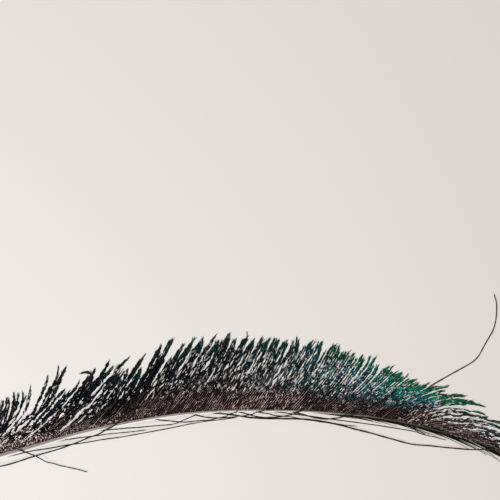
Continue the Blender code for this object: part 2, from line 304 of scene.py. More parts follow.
# How long each strand's barbules get, as a share of the usual, past the first share in STRAND_FULL, whose
# second value is how fast they get so.
STRAND_FULLNESS = (1.5, 1, 1, 1, 1.2, 1, 1.2, 1.3, 3.6, 1, 1, 2.8, 0.8)
STRAND_FULL = (0.4, 4.5)
STRAND_FLATNESS = 0.6
STRAND_POINTS = 60
# How far strands wander sideways, and the share of a strand over which that changes.
STRAND_WANDER = 0.3
STRAND_CELL = 0.07
STRAND_SPREAD = (0.85, 1.15)
# Barbules of the strands, the down and the barbs pressed along the shaft, as for the vane.
STRAND_BARBULES = (0.8, ((0, 1.1), (1, 0.9)), ((0, 16), (1, 10)), 0.3)
DOWN_BARBULES = (0.28, ((0, 2), (0.5, 3), (1, 2)), ((0, 62), (1, 30)), 0.12)
UNDER_BARBULES = (0.6, ((0, 1), (0.5, 1.3), (1, 0.8)), ((0, 6), (1, 4)), 0.45)

# Down on the other side of the shaft's base, as for the barbs. Its layout is the step between roots, the
# points of a course and the spread of its tips' heights; its stem is the radius at both ends.
DOWN = ((-248, 0, -18, 9), (-230, -2, -32, 16), (-205, 0, -40, 22), (-180, 8, -36, 18))
DOWN_LAYOUT = (1.5, 13, (0.2, 2.2))
DOWN_STEM = (0.12, 0.05)

# Short dark barbs pressed along the other side of the shaft near its tip, as for the down.
UNDER = (
    (36, -6, -10, 28), (56, -11, -14, 27), (80, -16, -20, 34), (100, -19, -24, 38), (120, -23, -32, 42),
    (140, -30, -44, 34), (160, -38, -46, 20),
)
UNDER_LAYOUT = (3.0, 21, (0.2, 1.5))
UNDER_STEM = (0.3, 0.16)
# How far these barbs turn and differ in length at random, as shares, where they leave the shaft as a share
# of its radius, and how far their barbules roll, in radians.
SIDE_TURN = 0.3
SIDE_LENGTH = (0.7, 1.1)
SIDE_SEAT = (0, 0.7, -0.1)
SIDE_ROLL = 0.6

# The vane's pieces, by X of the root.
VANE_PARTS = (
    ("barbs_over_quill", -250, -170), ("barbs_lower", -170, -100), ("barbs_middle", -100, -35),
    ("barbs_crest", -35, 30), ("barbs_upper", 30, 88), ("barbs_tip", 88, 170),
)

# UV maps keep this far from the edges: on the vane and on the other pieces. A barb's U spans VANE_U, and
# its band of V reaches this far to each side of its stem, as a share of the step between bands.
VANE_EDGE = 0.02
ROW_EDGE = 0.01
VANE_U = 0.94
BAND_REACH = 0.42
# How far webs and barbules reach across a band by their turn: to the side, and upwards.
WEB_ACROSS = (-0.9, 0.06)
BARBULE_ABOVE = 0.08
# On the other pieces: how much of its band a stem takes, where its barbules start and how much they take,
# and on the strands and the tufts how far ahead a barbule's U runs, and the span of U.
STEM_BAND = 0.8
HAIR_BAND = (0.4, 0.3)
STRAND_U = (0.01, 0.97)
TUFT_U = (0.06, 0.92)
# In millimetres, how far ahead a barbule's U runs, and how far aside its V reaches the band's edge.
UV_AHEAD = 1.5
UV_ASIDE = 1.1

# Camera: the middle of its picture and its height in metres, its lens and sensor in millimetres.
VIEW_MIDDLE = (0.0535, 0.0907, 0)
CAMERA_HEIGHT = 2
LENS = 240
SENSOR = 36
# Lamps: name, place from the middle in metres, size and power.
LAMPS = (("key", (-0.45, -0.75, 0.8), 0.22, 11), ("fill", (0.7, 0.5, 0.9), 0.8, 3.3))
DOME_COLOUR = (0.96, 0.95, 0.94, 1)
DOME_STRENGTH = 0.26
FLOOR_HALF = 3


def srgb(red, green, blue):
    """A screen colour, 0 to 255 each, as the linear colour that a shader reads."""
    shares = np.array((red, green, blue)) / 255
    linear = np.where(shares <= 0.04045, shares / 12.92, ((shares + 0.055) / 1.055) ** 2.4)
    return (*map(float, linear), 1)


def along(points, x, column=1):
    """A smooth curve through the points, read at x: cubic, with each point's slope set by its neighbours."""
    xs, ys = np.array(points, float)[:, [0, column]].T
    slopes = np.gradient(ys, xs)
    i = np.clip(np.searchsorted(xs, x) - 1, 0, len(xs) - 2)
    step = xs[i + 1] - xs[i]
    t = (x - xs[i]) / step
    start = ys[i] * (1 + 2 * t) * (1 - t) ** 2 + step * slopes[i] * t * (1 - t) ** 2
    end = ys[i + 1] * t * t * (3 - 2 * t) + step * slopes[i + 1] * t * t * (t - 1)
    return start + end


def read(rows, x, column=1):
    """Straight lines between the listed rows, read at x."""
    xs, ys = np.array(rows, float)[:, [0, column]].T
    return np.interp(x, xs, ys)


def smooth(x):
    """An eased step from 0 to 1: three times the square less twice the cube of x, held from 0 to 1."""
    x = np.clip(x, 0, 1)
    return x * x * (3 - 2 * x)


def drift(rng, across, down, cell):
    """Even noise from -1 to 1 on a grid of random values, one a cell, blended by eased steps both ways."""
    u = (across - across.min()) / cell[0]
    v = down / cell[1]
    table = rng.uniform(-1, 1, (int(u.max()) + 2, int(v.max()) + 2))
    i = u.astype(int)
    j = v.astype(int)
    a = smooth(u - i)
    b = smooth(v - j)
    low = table[i, j] * (1 - a) + table[i + 1, j] * a
    high = table[i, j + 1] * (1 - a) + table[i + 1, j + 1] * a
    return low * (1 - b) + high * b


def shaft_radius(x):
    """The shaft's radius, on straight lines between the listed rows."""
    return read(SHAFT, x, 2)


def shaft_centre(x):
    """The shaft's centreline: level on the surface along the quill, then a bow by the square of a sine."""
    share = np.clip((x - LIFT_X) / (TIP_X - LIFT_X), 0, 1)
    height = shaft_radius(np.maximum(x, LIFT_X)) + BOW_HEIGHT * np.sin(np.pi * share) ** 2
    return np.stack((x, along(SHAFT, x), height), axis=-1)


def shaft_side(x):
    """Where barbs leave the shaft, beside its centre."""
    centre = shaft_centre(x)
    slope = np.arctan(along(SHAFT, x + 0.5) - along(SHAFT, x - 0.5))
    reach = BARB_SEAT * shaft_radius(x)
    centre[..., 0] -= reach * np.sin(slope)
    centre[..., 1] += reach * np.cos(slope)
    return centre


def unit(vectors):
    """Each vector divided by its length."""
    return vectors / np.maximum(np.linalg.norm(vectors, axis=-1, keepdims=True), 1e-12)


def carry(courses, radii, sides, flatness=1, roll=0):
    """Closed spindles: at every inner point of each course a ring of even turns, its radius times cosine
    to the side and times flatness and sine upwards, with one point at each end. Roll turns each ring.
    """
    count, steps, _ = courses.shape
    ahead = unit(np.gradient(courses, axis=1))
    side = unit(np.cross(ahead, (0, 0, 1.0)))
    above = np.cross(side, ahead)
    side, above = side * np.cos(roll) + above * np.sin(roll), above * np.cos(roll) - side * np.sin(roll)
    turns = (np.arange(sides) / sides * math.tau + math.pi / 2)[:, None]
    inner = slice(1, steps - 1)
    rings = courses[:, inner, None] + radii[:, inner, None, None] * (
        np.cos(turns) * side[:, inner, None] + flatness * np.sin(turns) * above[:, inner, None]
    )
    body = rings.reshape(count, -1, 3)
    points = np.concatenate((courses[:, :1], body, courses[:, -1:]), axis=1)

    each = points.shape[1]
    ring = 1 + np.arange(steps - 2)[:, None] * sides
    here = np.arange(sides)[None]
    after = (here + 1) % sides
    walls = np.stack((ring[:-1] + here, ring[:-1] + after, ring[1:] + after, ring[1:] + here), -1)
    first = np.stack((np.zeros_like(here), 1 + after, 1 + here), -1)
    last = np.stack((np.full_like(here, each - 1), ring[-1] + here, ring[-1] + after), -1)
    start = np.arange(count)[:, None, None] * each
    quads = (start + walls.reshape(1, -1, 4)).reshape(-1, 4)
    tips = (start + np.concatenate((first, last), axis=1).reshape(1, -1, 3)).reshape(-1, 3)

    turn = np.arange(sides)
    half = turn + 0.5
    near = np.arange(1, steps - 2)
    station = np.stack((near, near, near + 1, near + 1), -1)
    wall_turn = np.tile(np.stack((turn, turn + 1, turn + 1, turn), -1).ravel(), steps - 3)
    wall_step = np.repeat(station[:, None], sides, axis=1).ravel()
    tip_turn = np.stack(((half, turn + 1, turn), (half, turn, turn + 1))).transpose(0, 2, 1).ravel()
    tip_step = np.concatenate((np.tile((0, 1, 1), sides), np.tile(steps - 1 - np.array((0, 1, 1)), sides)))
    corner = {
        "which": np.concatenate([np.repeat(np.arange(count), part.size) for part in (wall_turn, tip_turn)]),
        "share": np.concatenate((np.tile(wall_step, count), np.tile(tip_step, count))) / (steps - 1),
        "turn": np.concatenate((np.tile(wall_turn, count), np.tile(tip_turn, count))) / sides,
    }
    return points.reshape(-1, 3), quads, tips, corner


def piece(name, shape, uv, look, rounded):
    """A mesh object from carried profiles, with its UV map, riding on the feather and standing for it."""
    points, quads, tips, _ = shape
    mesh = bpy.data.meshes.new(name)
    placed = (points + (CREST_X, CREST_Y, 0)) * MM
    mesh.vertices.add(len(placed))
    mesh.vertices.foreach_set("co", placed.ravel())
    corners = np.concatenate((quads.ravel(), tips.ravel()))
    sizes = np.repeat((4, 3), (len(quads), len(tips)))
    mesh.loops.add(len(corners))
    mesh.loops.foreach_set("vertex_index", corners)
    mesh.polygons.add(len(sizes))
    mesh.polygons.foreach_set("loop_start", np.cumsum(sizes) - sizes)
    mesh.update(calc_edges=True)
    mesh.uv_layers.new(name="OFBake").data.foreach_set("uv", uv.ravel())
    mesh.polygons.foreach_set("use_smooth", np.full(len(sizes), rounded))
    mesh.validate()
    mesh.materials.append(look)
    made = bpy.data.objects.new(name, mesh)
    bpy.context.scene.collection.objects.link(made)
    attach(made, "root")
    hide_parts("feather")


def barb_roots():
    """X of each barb's root, one listed step after another."""
    places = []
    x = BARBS[0][0]
    while x <= BARBS[-1][0]:
        places.append(x)
        x += read(BARB_STEP, x)
    return np.array(places)


def swept(roots, start, end, curl, length, points):
    """Plan places along barbs: sums of even steps whose direction turns from start to end by a power of the
    share of length, then curls further near the tip by an eased step."""
    share = np.linspace(0, 1, points)[None]
    late = share ** read(SWEEP, roots)[:, None]
    curled = curl[:, None] * smooth((share - CURL_FROM) / (1 - CURL_FROM))
    angle = np.radians(start[:, None] + (end - start)[:, None] * late + curled)
    middle = (angle[:, 1:] + angle[:, :-1]) / 2
    step = length[:, None] / (points - 1)
    zero = np.zeros((len(start), 1))
    x, y = (np.hstack((zero, np.cumsum(step * wave(middle), axis=1))) for wave in (np.cos, np.sin))
    return share, angle, x, y


def find_locks(rng, roots):
    """For each barb: its lock's turn, length share, closing and curl, the way to the lock's middle in X,
    and from 0 in the lock's middle to 1 at its edge."""
    edges = [row[0] for row in LOCKS]
    values = [row[1:] for row in LOCKS]
    while edges[-1] < roots[-1]:
        size = rng.choice(LOCK_SIZES)
        edges.append(edges[-1] + size * read(BARB_STEP, edges[-1]))
        turn, length, curl = rng.uniform(-1, 1, 3)
        close = read(LOCK_CLOSE, edges[-1]) * rng.uniform(*LOCK_SPREAD)
        values.append((LOCK_TURN * turn, 1 + LOCK_LENGTH * length, close, LOCK_CURL * curl))
    lock = np.searchsorted(edges, roots, side="right") - 1
    count = np.maximum(np.bincount(lock), 1)
    middle = (np.bincount(lock, roots) / count)[lock]
    reach = (count * read(BARB_STEP, np.array(edges)[: len(count)]))[lock] / 2
    turn, length, close, curl = np.array(values)[lock].T
    return turn, length, close, curl, middle - roots, np.abs(middle - roots) / reach


def gap_shifts(rng, roots, length):
    """How far each barb is pushed sideways, so that gaps open at random and are made up nearby: running
    sums of random openings, less their average over a few barbs to each side."""
    share = np.linspace(0, 1, COURSE_POINTS)[None]
    wide, period, onset, power = (read(GAPS, roots, column)[:, None] for column in (1, 2, 3, 4))
    run = share * length[:, None] / period
    number = np.arange(len(roots))[:, None]
    opening = wide * np.maximum(drift(rng, number, run, (1, 1)), 0) ** power
    slit_x, slit_width, slit_start, slit_end = np.array(SLITS).T[:, :, None]
    started = smooth((share - slit_start) / SLIT_EASE)
    ended = smooth((share - slit_end) / SLIT_EASE)
    opening[np.searchsorted(roots, slit_x[:, 0])] += slit_width * (started - ended)
    total = np.cumsum(opening, axis=0)
    padded = np.pad(total, ((GAP_REACH, GAP_REACH), (0, 0)), "edge")
    windows = np.lib.stride_tricks.sliding_window_view(padded, 2 * GAP_REACH + 1, axis=0)
    return (total - windows.mean(axis=-1)) * smooth((share - onset) / GAP_EASE)


def vane_courses(rng, roots):
    """Barbs turn steadily in plan, part at gaps and close up into locks. Their height falls from the shaft's
    to the floor's as a power of what is left of their length, and a random layer keeps them apart."""
    turn, stretch, close, curl, to_middle, off = find_locks(rng, roots)
    tuft = rng.uniform(-1, 1, (2, len(roots)))
    uneven = read(UNEVEN_LENGTH, roots)
    start = along(BARBS, roots, 1)
    end = along(BARBS, roots, 2) + turn + UNEVEN_TURN * uneven * tuft[0]
    length = along(BARBS, roots, 3) * stretch * (1 + uneven * tuft[1]) * (1 - read(POINTED, roots) * off)
    curl = curl * (1 + UNEVEN_CURL * tuft[0])
    share, angle, x, y = swept(roots, start, end, curl, length, COURSE_POINTS)
    closing = smooth((share - LOCK_FROM) / (1 - LOCK_FROM))
    shift = gap_shifts(rng, roots, length) * (1 - LOCK_SHUT * closing)
    shift = shift + (close * to_middle * np.sin(angle[:, 0]))[:, None] * closing
    base = shaft_side(roots)
    layer = rng.uniform(*LAYERS, len(roots))[:, None]
    number = np.arange(len(roots))[:, None]
    roll = drift(rng, number, share, (1, ROLL_CELL)) * np.radians(read(ROLL, share))
    height = FLOOR_GAP + layer * share + (base[:, 2:] - FLOOR_GAP) * (1 - share) ** DROOP_POWER
    x = base[:, :1] + x + shift * np.sin(angle)
    y = base[:, 1:2] + y - shift * np.cos(angle)
    return np.stack((x, y, height, roll), axis=-1), length


def at_share(values, barb, share):
    """Values along each barb, read at a share of its length on straight lines between its points."""
    place = share * (values.shape[1] - 1)
    i = np.minimum(place.astype(int), values.shape[1] - 2)
    t = (place - i)[:, None]
    return values[barb, i] * (1 - t) + values[barb, i + 1] * t


def barbules(rng, courses, lengths, spacing, size, angles, width):
    """Spindles in two rows along each barb, each of a root, a belly and a tip. They go ahead by the cosine
    of their lean and aside by its sine, and lean less at the tip, so each bends towards the barb's tip."""
    counts = np.maximum((lengths / spacing).astype(int), 2)
    barb = np.repeat(np.arange(len(lengths)), counts)
    number = np.arange(counts.sum()) - np.repeat(np.cumsum(counts) - counts, counts)
    barb = np.concatenate((barb, barb))
    hand = np.repeat((1.0, -1.0), counts.sum())
    jitter = rng.uniform(-BARBULE_JITTER, BARBULE_JITTER, len(barb))
    share = (np.concatenate([number + start for start in ROW_STARTS]) + jitter) / counts[barb]
    share = np.clip(share, *BARBULE_ENDS)
    root, roll = np.split(at_share(courses, barb, share), (3,), axis=1)
    root = root - (0, 0, STEM_RADIUS[0])
    ahead = unit(at_share(np.gradient(courses[..., :3], axis=1), barb, share))
    flat = unit(np.cross((0, 0, 1.0), ahead))
    aside = (flat * np.cos(roll) + np.cross(ahead, flat) * np.sin(roll)) * hand[:, None]
    lean = np.radians(read(angles, share) * rng.uniform(*LEAN_SPREAD, len(barb)))[:, None]
    tuft = drift(rng, barb + 0.5 * (hand > 0), share * lengths[barb] / TUFT_SIZE, (0.5, 1))
    uneven = 1 + TUFT_UNEVEN * tuft * smooth(share / TUFT_FULL)
    reach = (read(size, share) * uneven * rng.uniform(*LENGTH_SPREAD, len(barb)))[:, None]
    rise = rng.uniform(*RISE_SPREAD, len(barb))[:, None] * (0, 0, 1.0)
    belly = root + reach * BELLY * (ahead * np.cos(lean) + aside * np.sin(lean) + rise)
    tip = root + reach * (ahead * np.cos(lean * TIP_LEAN) + aside * np.sin(lean * TIP_LEAN) + rise)
    stalks = np.stack((root, belly, tip), axis=1)
    stalks[..., 2] = np.maximum(stalks[..., 2], FLOOR_GAP)
    radius = np.zeros(stalks.shape[:2])
    full = np.minimum(reach[:, 0], FULL_LENGTH) / FULL_LENGTH
    radius[:, 1] = width / 2 * full * rng.uniform(*WIDTH_SPREAD, len(barb))
    sideways = ((tip - root) * flat).sum(axis=1)
    return stalks, radius, barb, share, sideways


def band(number, side, count):
    """V of a barb's own band, with its stem in the middle and side -1 to 1 across it."""
    return VANE_EDGE + (1 - 2 * VANE_EDGE) * (number + 0.5 + BAND_REACH * np.clip(side, -1, 1)) / count


def vane_uv(corner, side, count):
    """U along each barb, and V across the barb's own band."""
    return np.stack((VANE_EDGE + VANE_U * corner["share"], band(corner["which"], side, count)), axis=-1)


def barbule_uv(corner, number, share, sideways, lengths, count):
    """U is the share of the barb's length, and V lies in the barb's own band."""
    which, out, turn = corner.values()
    u = share[which] + out * UV_AHEAD / lengths[which]
    side = sideways[which] * out / UV_ASIDE + np.cos(turn * math.tau) * BARBULE_ABOVE
    return np.stack((VANE_EDGE + VANE_U * u, band(number[which], side, count)), axis=-1)


class Nodes:
    """A short way to lay out a material's nodes."""

    def __init__(self, name):
        self.material = bpy.data.materials.new(name)
        self.material.use_nodes = True
        self.tree = self.material.node_tree
        self.shader = self.tree.nodes["Principled BSDF"]

    def feed(self, socket, value):
        """Links a socket to another's output, or sets its value."""
        if isinstance(value, bpy.types.NodeSocket):
            self.tree.links.new(value, socket)
        else:
            socket.default_value = value

    def node(self, kind, inputs=(), **settings):
        made = self.tree.nodes.new("ShaderNode" + kind)
        for key, value in settings.items():
            setattr(made, key, value)
        for key, value in dict(inputs).items():
            self.feed(made.inputs[key], value)
        return made

    def place(self):
        return self.node("UVMap", uv_map="OFBake").outputs["UV"]

    def uv(self, scale):
        """The piece's own UV map, scaled."""
        return self.node("Mapping", {"Vector": self.place(), "Scale": (*scale, 1)}).outputs["Vector"]

    def uv_axis(self, axis):
        return self.node("SeparateXYZ", {0: self.place()}).outputs[axis]

    def noise(self, vector, detail):
        inputs = {"Vector": vector, "Scale": 1, "Detail": detail}
        return self.node("TexNoise", inputs).outputs["Fac"]

    def cells(self, vector):
        """A random grey for each cell of an uneven mesh of cells, one unit across."""
        made = self.node("TexVoronoi", {"Vector": vector, "Scale": 1})
        return self.node("SeparateColor", {0: made.outputs["Color"]}).outputs[0]

    def ramp(self, factor, stops):
        """Colours at places from 0 to 1, blended in between."""
        made = self.node("ValToRGB", {"Fac": factor})
        steps = made.color_ramp.elements
        while len(steps) < len(stops):
            steps.new(0.5)
        for step, (place, colour) in zip(steps, stops):
            step.position = place
            step.color = colour
        return made.outputs["Color"]

    def tones(self, factor, rows):
        """A ramp of screen colours: each row is a place, then red, green and blue from 0 to 255."""
        return self.ramp(factor, [(place, srgb(*colour)) for place, *colour in rows])

    def levels(self, factor, rows):
        """A ramp of greys: each row is a place and a level."""
        return self.ramp(factor, [(place, (level,) * 4) for place, level in rows])

    def grey(self, factor, low, high, to_low=0, to_high=1):
        """The factor's range low to high, moved to another range."""
        inputs = {0: factor, "From Min": low, "From Max": high, "To Min": to_low, "To Max": to_high}
        return self.node("MapRange", inputs).outputs["Result"]

    def mix(self, factor, first, second, blend="MIX"):
        made = self.node("Mix", {"Factor": factor}, data_type="RGBA", blend_type=blend)
        colours = [socket for socket in made.inputs if socket.type == "RGBA"]
        for socket, value in zip(colours, (first, second)):
            self.feed(socket, value)
        return next(socket for socket in made.outputs if socket.type == "RGBA")

    def maths(self, operation, first, second):
        return self.node("Math", {0: first, 1: second}, operation=operation).outputs[0]

    def times(self, first, second):
        return self.maths("MULTIPLY", first, second)

    def finish(self, **values):
        """Sets the shader's own sockets by name, with _ for a space."""
        for key, value in values.items():
            self.feed(self.shader.inputs[key.replace("_", " ")], value)
        return self.material

    def keratin(self, colour, grain, strength, rough, depth=0.05 * MM, **values):
        """A colour, with bump and roughness by the same grey; rough is the least and the most of it."""
        inputs = {"Height": grain, "Strength": strength, "Distance": depth}
        normal = self.node("Bump", inputs).outputs["Normal"]
        roughness = self.grey(grain, 0.3, 0.7, *rough)
        return self.finish(Base_Color=colour, Normal=normal, Roughness=roughness, **values)


def place_of(roots, x):
    """V where the barb with its root at x has its band."""
    return band(np.interp(x, roots, np.arange(len(roots))), 0, len(roots))


def shades(look, roots, rows):
    """Greys by X of the barb's root."""
    return look.levels(look.uv_axis("Y"), [(place_of(roots, x), level) for x, level in rows])


def barbule_look(roots):
    """Barbules: maroon-black at the root, through navy and teal to green points, by place on the vane, with
    painted glints and painted shade at each barb's edges.
    """
    look = Nodes("barbule_keratin")
    share = look.uv_axis("X")
    place = look.uv_axis("Y")

    def between(low, high, *ends):
        """A factor that goes from 0 to 1, or as ends says, as the root's X goes from low to high."""
        return look.grey(place, place_of(roots, low), place_of(roots, high), *ends)

    def zoned(made, zones):
        """The given ramps in order, each blended into the next from one X of the root to another."""
        blend, *rest = made
        for (low, high), after in zip(zones, rest):
            blend = look.mix(between(low, high), blend, after)
        return blend

    count = len(roots)
    colour = zoned([look.tones(share, rows) for rows in VANE_TONES], TONE_ZONES)
    patch = look.noise(look.uv((9, 60)), 3)
    glint = look.times(look.grey(patch, 0.52, 0.72), look.grey(share, 0.35, 0.6))
    glint = look.times(glint, between(-60, 50, 0.1, 1))
    colour = look.mix(glint, colour, srgb(0, 92, 104))
    hue = look.tones(look.cells(look.uv((30, 1.5 * count))), GLINTS)
    shown = look.levels(share, ((0.26, 0), (0.46, 1), (0.75, 1), (0.9, 0.2)))
    shown = look.times(shown, between(86, 96, 1, 0.15))
    colour = look.mix(look.times(shown, between(-20, 50, 0, 0.6)), colour, hue)
    dull = look.grey(look.noise(look.uv((3, 100)), 2), 0.42, 0.55)
    dull = look.times(dull, look.grey(share, 0.65, 0.8))
    dull = look.times(dull, between(-20, 50, 0.85, 0.25))
    colour = look.mix(dull, colour, srgb(36, 31, 31))
    fine = look.cells(look.uv((38, 2 * count)))
    colour = look.mix(1, colour, look.grey(fine, 0, 0.85, 0.25, 1.6), "MULTIPLY")
    # Painted shade at the edges of each barb's band, and a lighter painted core in its middle.
    across = look.maths("PINGPONG", look.grey(place, VANE_EDGE, 1 - VANE_EDGE, 0, count), 0.5)
    painted_edge_shade = look.grey(across, 0.12, 0.36, 0.35, 1.25)
    colour = look.mix(1, colour, painted_edge_shade, "MULTIPLY")
    # Pale flecks laid over the barbules here are painted glints, brighter near the shaft by place.
    grain = look.cells(look.uv((100, 3 * count)))
    dash = look.cells(look.uv((34, 3 * count)))
    limit = zoned([look.levels(share, rows) for rows in PAINTED_GLINT_LIMITS], PAINTED_GLINT_ZONES)
    lined = look.maths("MAXIMUM", look.grey(share, 0.2, 0.3), between(-60, -20))
    above = look.maths("GREATER_THAN", look.mix(lined, grain, dash), limit)
    pale = look.tones(share, PAINTED_GLINT_TONES)
    glint_level = shades(look, roots, PAINTED_GLINT_LEVELS)
    pale = look.mix(1, pale, look.mix(look.grey(share, 0.3, 0.5), glint_level, (1, 1, 1, 1)), "MULTIPLY")
    colour = look.mix(above, colour, pale)
    return look.keratin(colour, fine, 0.2, (0.28, 0.48), Metallic=0.2, Specular_IOR_Level=0.1)


def ramus_look(roots):
    """Barb stems: pale mauve-grey near the shaft, darkening outwards; the pale part is partly a painted
    highlight.
    """
    look = Nodes("barb_stem_keratin")
    share = look.uv_axis("X")
    body = look.tones(share, STEM_TONES_AND_HIGHLIGHT)
    grain = look.cells(look.uv((7, len(roots))))
    bare = look.noise(look.uv((16, 60)), 3)
    seldom = look.grey(grain, 0, 0.25)
    # Random dark stretches where a stem shows neither its pale tone nor its painted highlight.
    hidden = look.mix(look.grey(bare, 0.44, 0.6), seldom, look.grey(grain, 0.4, 0.75))
    colour = look.mix(look.times(0.94, hidden), body, srgb(32, 8, 11))
    # Brightness by X of the root, which sets how much of the stems' pale tone and painted highlight shows.
    colour = look.mix(1, colour, shades(look, roots, STEM_HIGHLIGHT_LEVELS), "MULTIPLY")
    return look.keratin(colour, grain, 0.2, (0.3, 0.5))


def shaft_look():
    """Shaft: horn-grey keratin, mauve-brown by the vane and pale on the other side, with long striations;
    the bands round it are partly painted light, a bright lit band on the far side and lighter and darker
    lines on top.
    """
    look = Nodes("shaft_keratin")
    share = look.uv_axis("X")
    turn = look.uv_axis("Y")
    fibres = look.noise(look.uv((14, 46)), 5)
    flecks = look.noise(look.uv((220, 30)), 3)
    around = look.tones(turn, SHAFT_AROUND_WITH_PAINTED_LIGHT)
    dark = look.tones(share, SHAFT_ALONG)
    colour = look.mix(1, around, dark, "MULTIPLY")
    colour = look.mix(look.grey(fibres, 0.45, 0.75, 0, 0.5), colour, srgb(120, 104, 98))
    colour = look.mix(look.grey(flecks, 0.62, 0.75, 0, 0.3), colour, srgb(86, 70, 62))
    return look.keratin(colour, fibres, 0.35, (0.32, 0.5), depth=0.1 * MM)


def under_look():
    """Barbs pressed along the shaft near its tip: olive-black, with brown stretches."""
    look = Nodes("under_keratin")
    worn = look.noise(look.uv((30, 30)), 3)
    colour = look.tones(worn, ((0.35, 6, 5, 3), (0.5, 16, 18, 7), (0.65, 56, 44, 34)))
    return look.keratin(colour, worn, 0.3, (0.4, 0.6), Specular_IOR_Level=0.1)


def strand_look():
    """Loose strands: dark olive-grey, with paler worn stretches."""
    look = Nodes("loose_strand_keratin")
    worn = look.noise(look.uv((40, 4)), 4)
    colour = look.tones(worn, ((0.3, 14, 12, 9), (0.5, 30, 28, 22), (0.75, 62, 58, 46)))
    olive = look.tones(worn, ((0.3, 84, 80, 62), (0.5, 104, 98, 76), (0.75, 140, 134, 104)))
    last = 1 - 1 / len(STRANDS)
    colour = look.mix(look.grey(look.uv_axis("Y"), last, last + 0.004), colour, olive)
    return look.keratin(colour, worn, 0.3, (0.4, 0.6), Specular_IOR_Level=0.2)


def down_look():
    """Down: smoky grey-brown, paler towards the points."""
    look = Nodes("down_keratin")
    share = look.uv_axis("X")
    body = look.tones(share, ((0, 190, 180, 168), (0.4, 150, 138, 126), (1, 112, 100, 92)))
    tufts = look.noise(look.uv((9, 40)), 3)
    colour = look.mix(look.grey(tufts, 0.4, 0.7, 0, 0.6), body, srgb(84, 74, 68))
    return look.keratin(colour, tufts, 0.2, (0.6, 0.8))


def floor_look():
    """A floor that glows by its own emission, painted light that thins its shadows, brighter towards the
    quill and the near side as a painted falloff of light from the lower left.
    """
    look = Nodes("pale_floor")
    parts = look.node("SeparateXYZ", {0: look.node("TexCoord").outputs["Object"]})
    # Painted light: the floor's glow is brighter towards the quill and the near side.
    painted_glow = look.mix(look.grey(parts.outputs["X"], -0.1, 0.22), srgb(241, 237, 233), srgb(224, 216, 209))
    painted_glow = look.mix(look.grey(parts.outputs["Y"], 0, 0.4, 0, 0.6), painted_glow, srgb(216, 208, 201))
    return look.finish(
        Base_Color=srgb(108, 105, 103), Roughness=0.9, Emission_Color=painted_glow, Emission_Strength=0.81
    )


def make_webs(rng, roots, courses, look):
    """A flat four-sided strip along each barb, rolled as its barbules are. Half its width is the listed one
    times a random share at each point, raised to a power that makes beads."""
    share = np.linspace(0, 1, COURSE_POINTS)
    beads = read(WEB_BEADS, roots)[:, None]
    half = read(WEB, share)[None] * rng.uniform(*WEB_SPREAD, courses.shape[:2]) ** beads
    half = half * read(WEB_SCALE, roots)[:, None]
    low = courses - (0, 0, STEM_RADIUS[0], 0)
    inside = low[:, :1] - WEB_ROOT * (low[:, 1:2] - low[:, :1])
    low = np.concatenate((inside, low), axis=1)
    half = np.concatenate((half[:, :1], half), axis=1)
    low[..., 2] = np.maximum(low[..., 2], WEB_CLEAR + half * np.abs(np.sin(low[..., 3])))
    shape = carry(low[..., :3], half, 4, WEB_FLATNESS, low[..., 3:])
    corner = shape[3]
    turn = corner["turn"] * math.tau
    side = WEB_ACROSS[0] * np.sin(turn) + WEB_ACROSS[1] * np.cos(turn)
    piece("barb_webs", shape, vane_uv(corner, side, len(courses)), look, False)


def make_vane(rng):
    """The barbs: two rows of barbules, a web and a round stem that thins evenly, all on the same courses."""
    roots = barb_roots()
    courses, lengths = vane_courses(rng, roots)
    hairs = barbule_look(roots)
    for name, low, high in VANE_PARTS:
        chosen = (roots >= low) & (roots < high)
        stalks, radius, barb, share, sideways = barbules(rng, courses[chosen], lengths[chosen], *BARBULES)
        shape = carry(stalks, radius, 3, BARBULE_FLATNESS)
        number = np.flatnonzero(chosen)[barb]
        uv = barbule_uv(shape[3], number, share, sideways, lengths[number], len(roots))
        piece(name, shape, uv, hairs, False)
    make_webs(rng, roots, courses, hairs)
    shape = carry(courses[..., :3], np.linspace(*STEM_RADIUS, COURSE_POINTS)[None], 3)
    uv = vane_uv(shape[3], shape[3]["turn"] - 0.5, len(roots))
    piece("barb_stems", shape, uv, ramus_look(roots), True)


def strand_course(root_x, *course):
    """A smooth path from half the shaft's radius beside its centre through the strand's points."""
    root = shaft_centre(float(root_x)) - (0, 0.5 * shaft_radius(root_x), 0)
    points = np.array([root, *course])
    numbered = np.column_stack((np.arange(len(points)), points))
    places = np.linspace(0, len(course), STRAND_POINTS)
    return np.stack([along(numbered, places, axis) for axis in (1, 2, 3)], axis=-1)


def row_uv(u, row, count):
    """U along each row, and V in the row's own band, both kept off the map's edges."""
    return ROW_EDGE + (1 - 2 * ROW_EDGE) * np.stack((u, row / count), axis=-1)


def stem_uv(corner, count):
    """U along each stem, and V round it in a band of its own."""
    return row_uv(corner["share"], corner["which"] + STEM_BAND * corner["turn"], count)


def tuft_uv(corner, barb, share, count, ahead, span):
    """U by where on the barb the barbule stands and a little ahead along it, and V in the barb's band."""
    which, out, turn = corner.values()
    u = span * (share[which] + ahead * out)
    v = (barb[which] + HAIR_BAND[0] + HAIR_BAND[1] * turn) / count
    return ROW_EDGE + np.stack((u, (1 - 2 * ROW_EDGE) * v), axis=-1)


